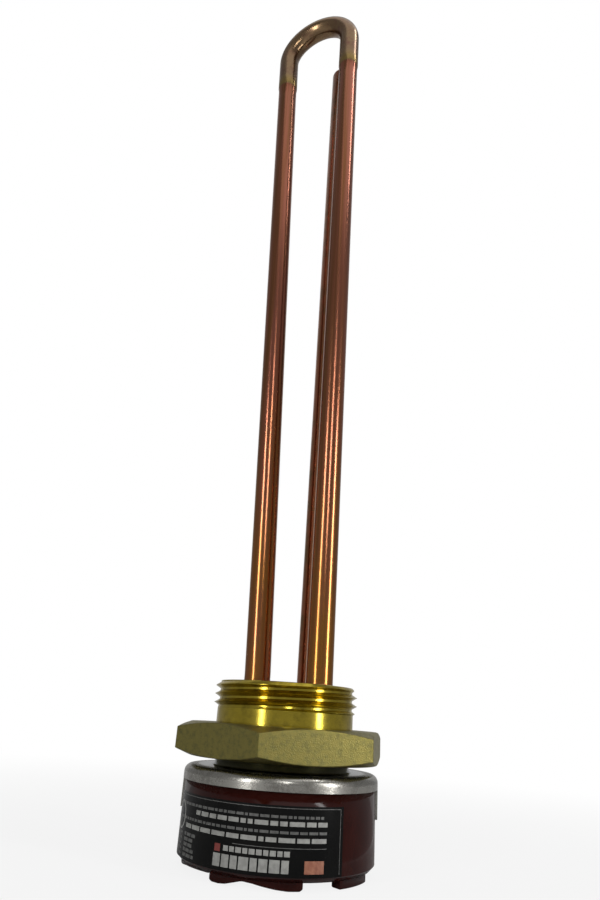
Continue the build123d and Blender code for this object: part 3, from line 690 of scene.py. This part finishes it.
def make_thread():
    """Neck and helical thread, capped by the plug's wet face."""
    ridge = (
        (THREAD_ROOT_RADIUS, 0.0), (THREAD_ROOT_RADIUS, 0.12), (20.0, 0.27), (20.5, 0.40),
        (20.86, 0.47), (THREAD_RADIUS, 0.50), (20.86, 0.53), (20.5, 0.60), (20.0, 0.73),
        (THREAD_ROOT_RADIUS, 0.88), (THREAD_ROOT_RADIUS, 1.0),
    )
    steps_per_turn = 160
    turns = ceil((PLUG_TOP - NECK_TOP) / THREAD_PITCH) + 2
    start = NECK_TOP - 1.5 * THREAD_PITCH
    bm = bmesh.new()
    edges = edge_line(bm, [(r, 0, start + share * THREAD_PITCH) for r, share in ridge])
    bmesh.ops.spin(
        bm, geom=list(bm.verts) + edges, cent=(0, 0, 0), axis=(0, 0, 1),
        dvec=(0, 0, THREAD_PITCH / steps_per_turn), angle=2 * pi * turns,
        steps=steps_per_turn * turns, use_duplicate=False,
    )
    bmesh.ops.remove_doubles(bm, verts=bm.verts, dist=1e-3)
    for height in (NECK_TOP, NECK_TOP + 0.6, PLUG_TOP - THREAD_END_CHAMFER):
        bmesh.ops.bisect_plane(
            bm, geom=bm.verts[:] + bm.edges[:] + bm.faces[:], plane_co=(0, 0, height),
            plane_no=(0, 0, 1),
        )
    for height, inner, outer in ((NECK_TOP - 0.2, True, False), (PLUG_TOP, False, True)):
        bmesh.ops.bisect_plane(
            bm, geom=bm.verts[:] + bm.edges[:] + bm.faces[:], plane_co=(0, 0, height),
            plane_no=(0, 0, 1), clear_inner=inner, clear_outer=outer,
        )
    for vert in bm.verts:
        least, greatest = thread_envelope(vert.co.z)
        radius = hypot(vert.co.x, vert.co.y)
        wanted = min(max(radius, least), greatest)
        vert.co.x *= wanted / radius
        vert.co.y *= wanted / radius
    lower = [edge for edge in rim_of(bm) if max(v.co.z for v in edge.verts) < NECK_TOP]
    upper = [edge for edge in rim_of(bm) if min(v.co.z for v in edge.verts) > PLUG_TOP - 0.05]
    bmesh.ops.edgeloop_fill(bm, edges=upper)
    pull(bm, lower, (0, 0, 0.2 - NECK_TOP - 0.5))
    bmesh.ops.recalc_face_normals(bm, faces=bm.faces)
    return bm


def make_hexagon():
    """Flat hexagonal face at the bottom of the plug."""
    bm = bmesh.new()
    bmesh.ops.create_circle(
        bm, cap_ends=True, segments=6, radius=HEX_ACROSS_FLATS / sqrt(3),
        matrix=Matrix.Rotation(radians(HEX_CORNER_ANGLE + 30), 4, "Z") @ Matrix.Translation((0, 0, PLUG_BOTTOM)),
    )
    return bm


def make_bevel_blank():
    """Turned blank whose coned ends cut the hexagon's corners."""
    inner = HEX_ACROSS_FLATS / 2 - HEX_CHAMFER_INSET
    outer = HEX_ACROSS_FLATS / sqrt(3) + 1
    drop = (outer - inner) * tan(radians(HEX_CHAMFER_ANGLE))
    return turned(
        [(0, PLUG_BOTTOM), (inner, PLUG_BOTTOM), (outer, PLUG_BOTTOM + drop), (outer, -drop), (inner, 0), (0, 0)],
        steps=144,
    )


def cut_with(piece, tool, operation):
    """Apply a boolean of another piece, and delete that piece."""
    cut = piece.modifiers.new("cut", "BOOLEAN")
    cut.operation = operation
    cut.solver = "EXACT"
    cut.object = tool
    graph = bpy.context.evaluated_depsgraph_get()
    mesh = bpy.data.meshes.new_from_object(piece.evaluated_get(graph))
    piece.modifiers.clear()
    old = piece.data
    piece.data = mesh
    bpy.data.meshes.remove(old)
    bpy.data.objects.remove(tool)


def make_plug():
    """Threaded plug: the hexagon in dull brass, the turned end in brighter brass."""
    bm = make_hexagon()
    face = bm.faces[:]
    made = bmesh.ops.extrude_face_region(bm, geom=face)["geom"]
    bmesh.ops.translate(
        bm, vec=(0, 0, -PLUG_BOTTOM), verts=[item for item in made if isinstance(item, bmesh.types.BMVert)]
    )
    bmesh.ops.recalc_face_normals(bm, faces=bm.faces)
    nut = finish_mesh(bm, "plug_hexagon", hex_brass)
    blank = finish_mesh(make_bevel_blank(), "bevel_blank", hex_brass)
    cut_with(nut, blank, "INTERSECT")
    softened = nut.modifiers.new("softened", "BEVEL")
    softened.width = 0.5 * MM
    softened.segments = 3
    softened.limit_method = "ANGLE"
    softened.angle_limit = radians(12)
    softened.use_clamp_overlap = True
    nut.data.shade_smooth()
    nut.data.set_sharp_from_angle(angle=radians(35))
    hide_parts("hex_plug")
    thread = finish_mesh(make_thread(), "plug_thread", thread_brass, smooth_angle=50)
    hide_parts("hex_plug")


def cad_copy(name):
    """Copy of a CAD node in millimetres, its triangles merged."""
    bm = bmesh.new()
    bm.from_mesh(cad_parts[name].data)
    bmesh.ops.remove_doubles(bm, verts=bm.verts, dist=1e-7)
    bmesh.ops.scale(bm, vec=(1 / MM, 1 / MM, 1 / MM), verts=bm.verts)
    return bm


def depth_at(profile, angle):
    """Depth of a lug at an angle, between the points of its profile."""
    for (start, first), (end, last) in zip(profile, profile[1:]):
        if angle <= end:
            share = min(max((angle - start) / (end - start), 0), 1)
            return first + (last - first) * share
    return profile[-1][1]


def make_lug(profile):
    """Lug on the body's end face; its outer edge follows the profile of angles and depths."""
    start = profile[0][0]
    span = profile[-1][0] - start
    steps = max(int(span / 1.5), 4)
    root = BODY_END + 0.6
    bm = bmesh.new()
    corners = (
        (LUG_INNER_RADIUS, root), (LUG_OUTER_RADIUS, root), (LUG_OUTER_RADIUS, BODY_END - LUG_DEPTH),
        (LUG_INNER_RADIUS, BODY_END - LUG_DEPTH),
    )
    face = bm.faces.new([bm.verts.new((r, 0, z)) for r, z in corners])
    bmesh.ops.rotate(bm, cent=(0, 0, 0), matrix=Matrix.Rotation(radians(start), 3, "Z"), verts=bm.verts)
    bmesh.ops.spin(
        bm, geom=[face] + list(bm.verts) + list(bm.edges), cent=(0, 0, 0), axis=(0, 0, 1),
        angle=radians(span), steps=steps, use_duplicate=False,
    )
    for vert in bm.verts:
        if vert.co.z < BODY_END:
            vert.co.z = BODY_END - depth_at(profile, degrees(atan2(vert.co.y, vert.co.x)))
    bmesh.ops.recalc_face_normals(bm, faces=bm.faces)
    low = [
        edge for edge in bm.edges
        if max(v.co.z for v in edge.verts) < BODY_END and edge.calc_face_angle(0) > radians(40)
    ]
    bmesh.ops.bevel(
        bm, geom=low, offset=0.4, offset_type="OFFSET", segments=3, profile=0.5, affect="EDGES", material=-1
    )
    return bm


def make_body():
    """Moulded body with the wavy front lugs in place of the plain ones."""
    body = finish_mesh(cad_copy("regulator_body"), "moulded_body", resin)
    cutter = turned(
        [(21.6, BODY_END + 0.01), (28.0, BODY_END + 0.01), (28.0, BODY_END - 3), (21.6, BODY_END - 3)],
        ring=True,
    )
    cut_with(body, finish_mesh(cutter, "lug_cutter", resin), "DIFFERENCE")
    back = [((start, LUG_DEPTH), (end, LUG_DEPTH)) for start, end in BACK_LUGS]
    for profile in [LEFT_LUG, FRONT_LUG] + back:
        cut_with(body, finish_mesh(make_lug(profile), "lug", resin), "UNION")
    body.data.shade_smooth()
    body.data.set_sharp_from_angle(angle=radians(35))
    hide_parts("regulator_body")


def make_button_spring():
    """Spring of the reset button: a copy of the CAD spring with a mesh of its own."""
    piece = finish_mesh(cad_copy("reset_spring"), "button_spring", spring_steel)
    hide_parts("reset_spring")
    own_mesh(piece)


# Label print: drawn flat in millimetres, then wrapped round the label

def print_bar(bm, left, right, low, high):
    """Flat bar between two sides and two heights."""
    steps = max(ceil((right - left) / 1.2), 1)
    edges = edge_line(bm, [(left, 0, low), (left, 0, high)])
    pull(bm, edges, (right - left, 0, 0), steps)


def print_words(bm, left, right, low, high, shortest, longest, gap, seed):
    """Row of bars of mixed lengths."""
    draw = random.Random(seed)
    place = left
    while place < right - shortest:
        end = min(place + draw.uniform(shortest, longest), right)
        print_bar(bm, place, end, low, high)
        place = end + gap


def print_ring(bm, middle, height, outer, inner, steps=32):
    """Flat ring."""
    made = bmesh.ops.create_circle(
        bm, cap_ends=False, segments=steps, radius=outer,
        matrix=Matrix.Translation((middle, 0, height)) @ Matrix.Rotation(radians(90), 4, "X"),
    )["verts"]
    loop = pull(bm, list({edge for vert in made for edge in vert.link_edges}), (0, 0, 0))
    verts = list({vert for edge in loop for vert in edge.verts})
    bmesh.ops.scale(
        bm, vec=(inner / outer, 1, inner / outer), verts=verts,
        space=Matrix.Translation((-middle, 0, -height)),
    )


def finish_print(bm, name, ink):
    """Wrap flat print round the label, give it its thickness and finish it."""
    bmesh.ops.recalc_face_normals(bm, faces=bm.faces)
    turned_in = [face for face in bm.faces if face.normal.y > 0]
    bmesh.ops.reverse_faces(bm, faces=turned_in)
    made = bmesh.ops.extrude_face_region(bm, geom=bm.faces[:])["geom"]
    outer = [item for item in made if isinstance(item, bmesh.types.BMVert)]
    bmesh.ops.translate(bm, vec=(0, -PRINT_THICKNESS, 0), verts=outer)
    for vert in bm.verts:
        angle = radians(LABEL_MIDDLE) + vert.co.x / LABEL_RADIUS
        radius = LABEL_RADIUS - 0.01 - vert.co.y
        vert.co.x, vert.co.y = radius * cos(angle), radius * sin(angle)
    bmesh.ops.recalc_face_normals(bm, faces=bm.faces)
    piece = finish_mesh(bm, name, ink)


def make_label_print():
    """Plain bars, blocks and a ring where the label has its print."""
    light = bmesh.new()
    print_words(light, -24.0, 12.6, -21.75, -20.75, 1.2, 3.8, 0.5, 3)
    print_words(light, -29.0, 12.6, -25.2, -24.2, 1.2, 4.2, 0.5, 5)
    print_words(light, -13.4, 4.6, -28.1, -26.95, 1.2, 1.7, 0.35, 7)
    print_words(light, -16.2, 4.4, -31.5, -28.8, 1.7, 2.6, 0.4, 9)
    print_ring(light, -33.6, -22.8, 3.4, 2.9)
    finish_print(light, "print_light", white_ink)

    grey = bmesh.new()
    print_bar(grey, -37.0, 16.6, -18.0, -17.85)
    print_bar(grey, 16.45, 16.6, -31.8, -18.0)
    print_bar(grey, -11.0, 12.6, -26.4, -26.25)
    print_words(grey, -37.0, 12.6, -20.1, -19.5, 0.7, 2.4, 0.35, 11)
    print_words(grey, -37.0, 12.6, -23.4, -22.8, 0.7, 2.4, 0.35, 13)
    for row in range(5):
        low = -31.6 + row * 1.15
        print_words(grey, -29.5, -23.5, low, low + 0.75, 1.0, 2.6, 0.4, 17 + row)
        print_words(grey, -37.0, -31.4, low, low + 0.5, 0.8, 2.0, 0.4, 27 + row)
    finish_print(grey, "print_grey", grey_ink)

    red = bmesh.new()
    print_bar(red, -16.0, -14.3, -28.4, -26.8)
    finish_print(red, "print_red", red_ink)
    orange = bmesh.new()
    print_bar(orange, 7.0, 12.0, -31.5, -28.8)
    finish_print(orange, "print_orange", orange_ink)


def raise_ticks(bm, angles, inner, outer, half_width, height):
    """Radial bars on a downward face."""
    for angle in angles:
        edges = edge_line(bm, [(inner, -half_width, height), (inner, half_width, height)])
        loop = pull(bm, edges, (outer - inner, 0, 0))
        verts = list({vert for edge in edges + loop for vert in edge.verts})
        bmesh.ops.rotate(
            bm, cent=(0, 0, 0), matrix=Matrix.Rotation(radians(angle), 3, "Z"), verts=verts
        )
    made = bmesh.ops.extrude_face_region(bm, geom=bm.faces[:])["geom"]
    raised = [item for item in made if isinstance(item, bmesh.types.BMVert)]
    bmesh.ops.translate(bm, vec=(0, 0, -0.04), verts=raised)
    bmesh.ops.recalc_face_normals(bm, faces=bm.faces)


def make_scale():
    """Ticks round the dial, and the dial's pointer."""
    bm = bmesh.new()
    angles = [SCALE_START + SCALE_STEP * index for index in range(SCALE_TICKS)]
    raise_ticks(bm, angles, DIAL_RADIUS + 0.8, DIAL_RADIUS + 2.2, 0.3, BODY_END + 0.01)
    between = [angle + SCALE_STEP / 2 for angle in angles[:-1]]
    fine = bmesh.new()
    raise_ticks(fine, between, DIAL_RADIUS + 0.8, DIAL_RADIUS + 1.5, 0.18, BODY_END + 0.01)
    for made, name in ((bm, "scale_ticks"), (fine, "scale_half_ticks")):
        finish_mesh(made, name, white_ink)
    pointer = bmesh.new()
    raise_ticks(pointer, [SCALE_START], 7.2, DIAL_RADIUS - 0.7, 0.35, DIAL_FACE + 0.01)
    finish_mesh(pointer, "dial_pointer", white_ink, body="dial")


make_sheath()
make_pocket()
make_braze()
make_plug()
make_body()
make_button_spring()
make_label_print()
make_scale()

finishes = {
    filler: ("brazing_rings",),
    cup_zinc: ("mounting_cup",),
    zinc: ("clamp_washers", "control_lever"),
    screw_zinc: ("cup_screws", "clamp_screws", "lever_pin", "cold_pin_left", "cold_pin_right"),
    label_film: ("label_band",),
    black_resin: ("adjusting_dial",),
    red_resin: ("reset_button",),
    magnesia: ("magnesia_filling",),
    ceramic: ("end_seal_left", "end_seal_right", "disc_holder"),
    coil_wire: ("resistance_coil",),
    stem_brass: ("stem_tube",),
    rod_steel: ("invar_rod",),
    strip_brass: ("socket_left", "socket_right", "neutral_strip", "fixed_contact"),
    bronze: ("contact_blade",),
    turned_brass: ("terminal_left", "terminal_right", "screw_bush", "adjusting_screw"),
    spring_steel: ("reset_spring",),
    disc_metal: ("trip_disc",),
    sheath_copper: ("element_sheath",),
    pocket_copper: ("stem_pocket",),
    hex_brass: ("hex_plug",),
    resin: ("regulator_body",),
}
for material, names in finishes.items():
    for name in names:
        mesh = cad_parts[name].data
        mesh.materials.clear()
        mesh.materials.append(material)


# Stage: camera, card, floor and lamps

def place_camera():
    """Camera at the photograph's viewpoint."""
    turn = Matrix.Rotation(radians(CAMERA_AZIMUTH), 3, "Z")
    aim = turn @ Vector((
        sin(CAMERA_YAW) * cos(CAMERA_PITCH), cos(CAMERA_YAW) * cos(CAMERA_PITCH), sin(CAMERA_PITCH)
    ))
    level_right = turn @ Vector((cos(CAMERA_YAW), -sin(CAMERA_YAW), 0))
    level_up = level_right.cross(aim)
    right = cos(CAMERA_ROLL) * level_right + sin(CAMERA_ROLL) * level_up
    up = cos(CAMERA_ROLL) * level_up - sin(CAMERA_ROLL) * level_right
    place = turn @ Vector((0, -CAMERA_DISTANCE, CAMERA_HEIGHT)) * MM
    data = bpy.data.cameras.new("camera")
    data.lens = FOCAL_PIXELS / PHOTO_HEIGHT * SENSOR_MM
    data.sensor_width = SENSOR_MM
    data.clip_start = 0.01
    data.clip_end = 20
    camera = bpy.data.objects.new("camera", data)
    bpy.context.scene.collection.objects.link(camera)
    matrix = Matrix((right, up, -aim)).transposed().to_4x4()
    matrix.translation = place
    camera.matrix_world = matrix
    bpy.context.scene.camera = camera
    return camera


def make_white(name, shade, near, far, near_glow, near_mirror, far_mirror):
    """Pale matte surface that camera rays see nearly as plain white, and mirror rays away from the object."""
    material, tree, shader = new_material(name, Roughness=0.9)
    shader.inputs["Base Color"].default_value = (shade, shade, shade, 1)
    shader.inputs["Specular IOR Level"].default_value = 0.1
    place = object_place(tree, (1.0, 1.0, 0.0))
    reach = add_node(tree, "ShaderNodeVectorMath", {"operation": "LENGTH"}, {0: place}).outputs["Value"]
    light_path = add_node(tree, "ShaderNodeLightPath")
    glow = remap(tree, reach, near * MM, far * MM, near_glow, 1.0, smooth=True)
    mirror = remap(tree, reach, near * MM, far * MM, near_mirror, far_mirror, smooth=True)
    mirrored = calculate(
        tree, "ADD", light_path.outputs["Is Glossy Ray"], light_path.outputs["Is Transmission Ray"], clamp=True
    )
    seen = calculate(
        tree, "MULTIPLY_ADD", light_path.outputs["Is Camera Ray"], glow,
        calculate(tree, "MULTIPLY", mirrored, mirror), clamp=True,
    )
    white = add_node(tree, "ShaderNodeEmission", {}, {"Color": (1, 1, 1, 1), "Strength": 1.0})
    blend = add_node(tree, "ShaderNodeMixShader")
    connect(tree, blend.inputs[0], seen)
    tree.links.new(shader.outputs[0], blend.inputs[1])
    tree.links.new(white.outputs[0], blend.inputs[2])
    tree.links.new(blend.outputs[0], tree.nodes["Material Output"].inputs["Surface"])
    return material


def make_stage(camera):
    """Floor, and a white card behind the object that fills the camera's view."""
    bm = bmesh.new()
    bmesh.ops.create_grid(
        bm, x_segments=1, y_segments=1, size=2500, matrix=Matrix.Translation((0, 0, FLOOR_HEIGHT))
    )
    floor = finish_mesh(bm, "floor", make_white("floor_white", 0.55, 60, 420, 0.86, 0.0, 0.3))
    distance = 1100
    bm = bmesh.new()
    bmesh.ops.create_grid(bm, x_segments=1, y_segments=1, size=0.5)
    bmesh.ops.scale(bm, vec=(1.25 * PHOTO_WIDTH, 1.2 * PHOTO_HEIGHT, 1), verts=bm.verts)
    bmesh.ops.scale(bm, vec=(distance / FOCAL_PIXELS,) * 3, verts=bm.verts)
    bmesh.ops.translate(bm, vec=(0, 0, -distance), verts=bm.verts)
    bmesh.ops.scale(bm, vec=(MM, MM, MM), verts=bm.verts)
    bmesh.ops.transform(bm, matrix=camera.matrix_world, verts=bm.verts)
    bmesh.ops.scale(bm, vec=(1 / MM, 1 / MM, 1 / MM), verts=bm.verts)
    card = finish_mesh(bm, "card", make_white("card_white", 0.55, 60, 420, 1.0, 0.3, 0.3))


def add_lamp(name, azimuth, height, distance, width, length, power, colour=(1, 1, 1)):
    """Soft lamp at an angle to the right of the camera, aimed at the axis."""
    angle = radians(CAMERA_AZIMUTH + azimuth)
    place = Vector((sin(angle) * distance, -cos(angle) * distance, height)) * MM
    data = bpy.data.lights.new(name, "AREA")
    data.shape = "RECTANGLE"
    data.size = width * MM
    data.size_y = length * MM
    data.energy = power
    data.color = colour
    lamp = bpy.data.objects.new(name, data)
    bpy.context.scene.collection.objects.link(lamp)
    target = Vector((0, 0, 120 * MM))
    lamp.matrix_world = (
        Matrix.Translation(place) @ (target - place).to_track_quat("-Z", "Y").to_matrix().to_4x4()
    )
    return lamp


def make_room():
    """Dim grey room that the camera sees as plain white."""
    world = bpy.data.worlds.new("room")
    world.use_nodes = True
    tree = world.node_tree
    light_path = add_node(tree, "ShaderNodeLightPath")
    mirrored = calculate(
        tree, "ADD", light_path.outputs["Is Glossy Ray"], light_path.outputs["Is Transmission Ray"], clamp=True
    )
    seen = calculate(
        tree, "MULTIPLY_ADD", mirrored, ROOM_MIRROR, light_path.outputs["Is Camera Ray"], clamp=True
    )
    shade = mix_colour(tree, seen, (ROOM_LEVEL, ROOM_LEVEL, ROOM_LEVEL, 1), (1, 1, 1, 1))
    tree.links.new(shade, tree.nodes["Background"].inputs["Color"])
    bpy.context.scene.world = world


def light_scene():
    """Dim room with tall soft lamps to the left, to the right and above."""
    make_room()
    add_lamp("left_strip", -38, 180, 700, 70, 460, 1.5)
    add_lamp("right_strip", 58, 180, 700, 90, 460, 2.3)
    add_lamp("right_high", 76, 950, 520, 80, 350, 0.9)
    add_lamp("front_fill", 6, 420, 800, 60, 300, 0.8)
    add_lamp("top_box", 20, 1000, 300, 900, 900, 1.6)


camera = place_camera()
make_stage(camera)
light_scene()
bpy.context.scene.view_settings.view_transform = "Standard"
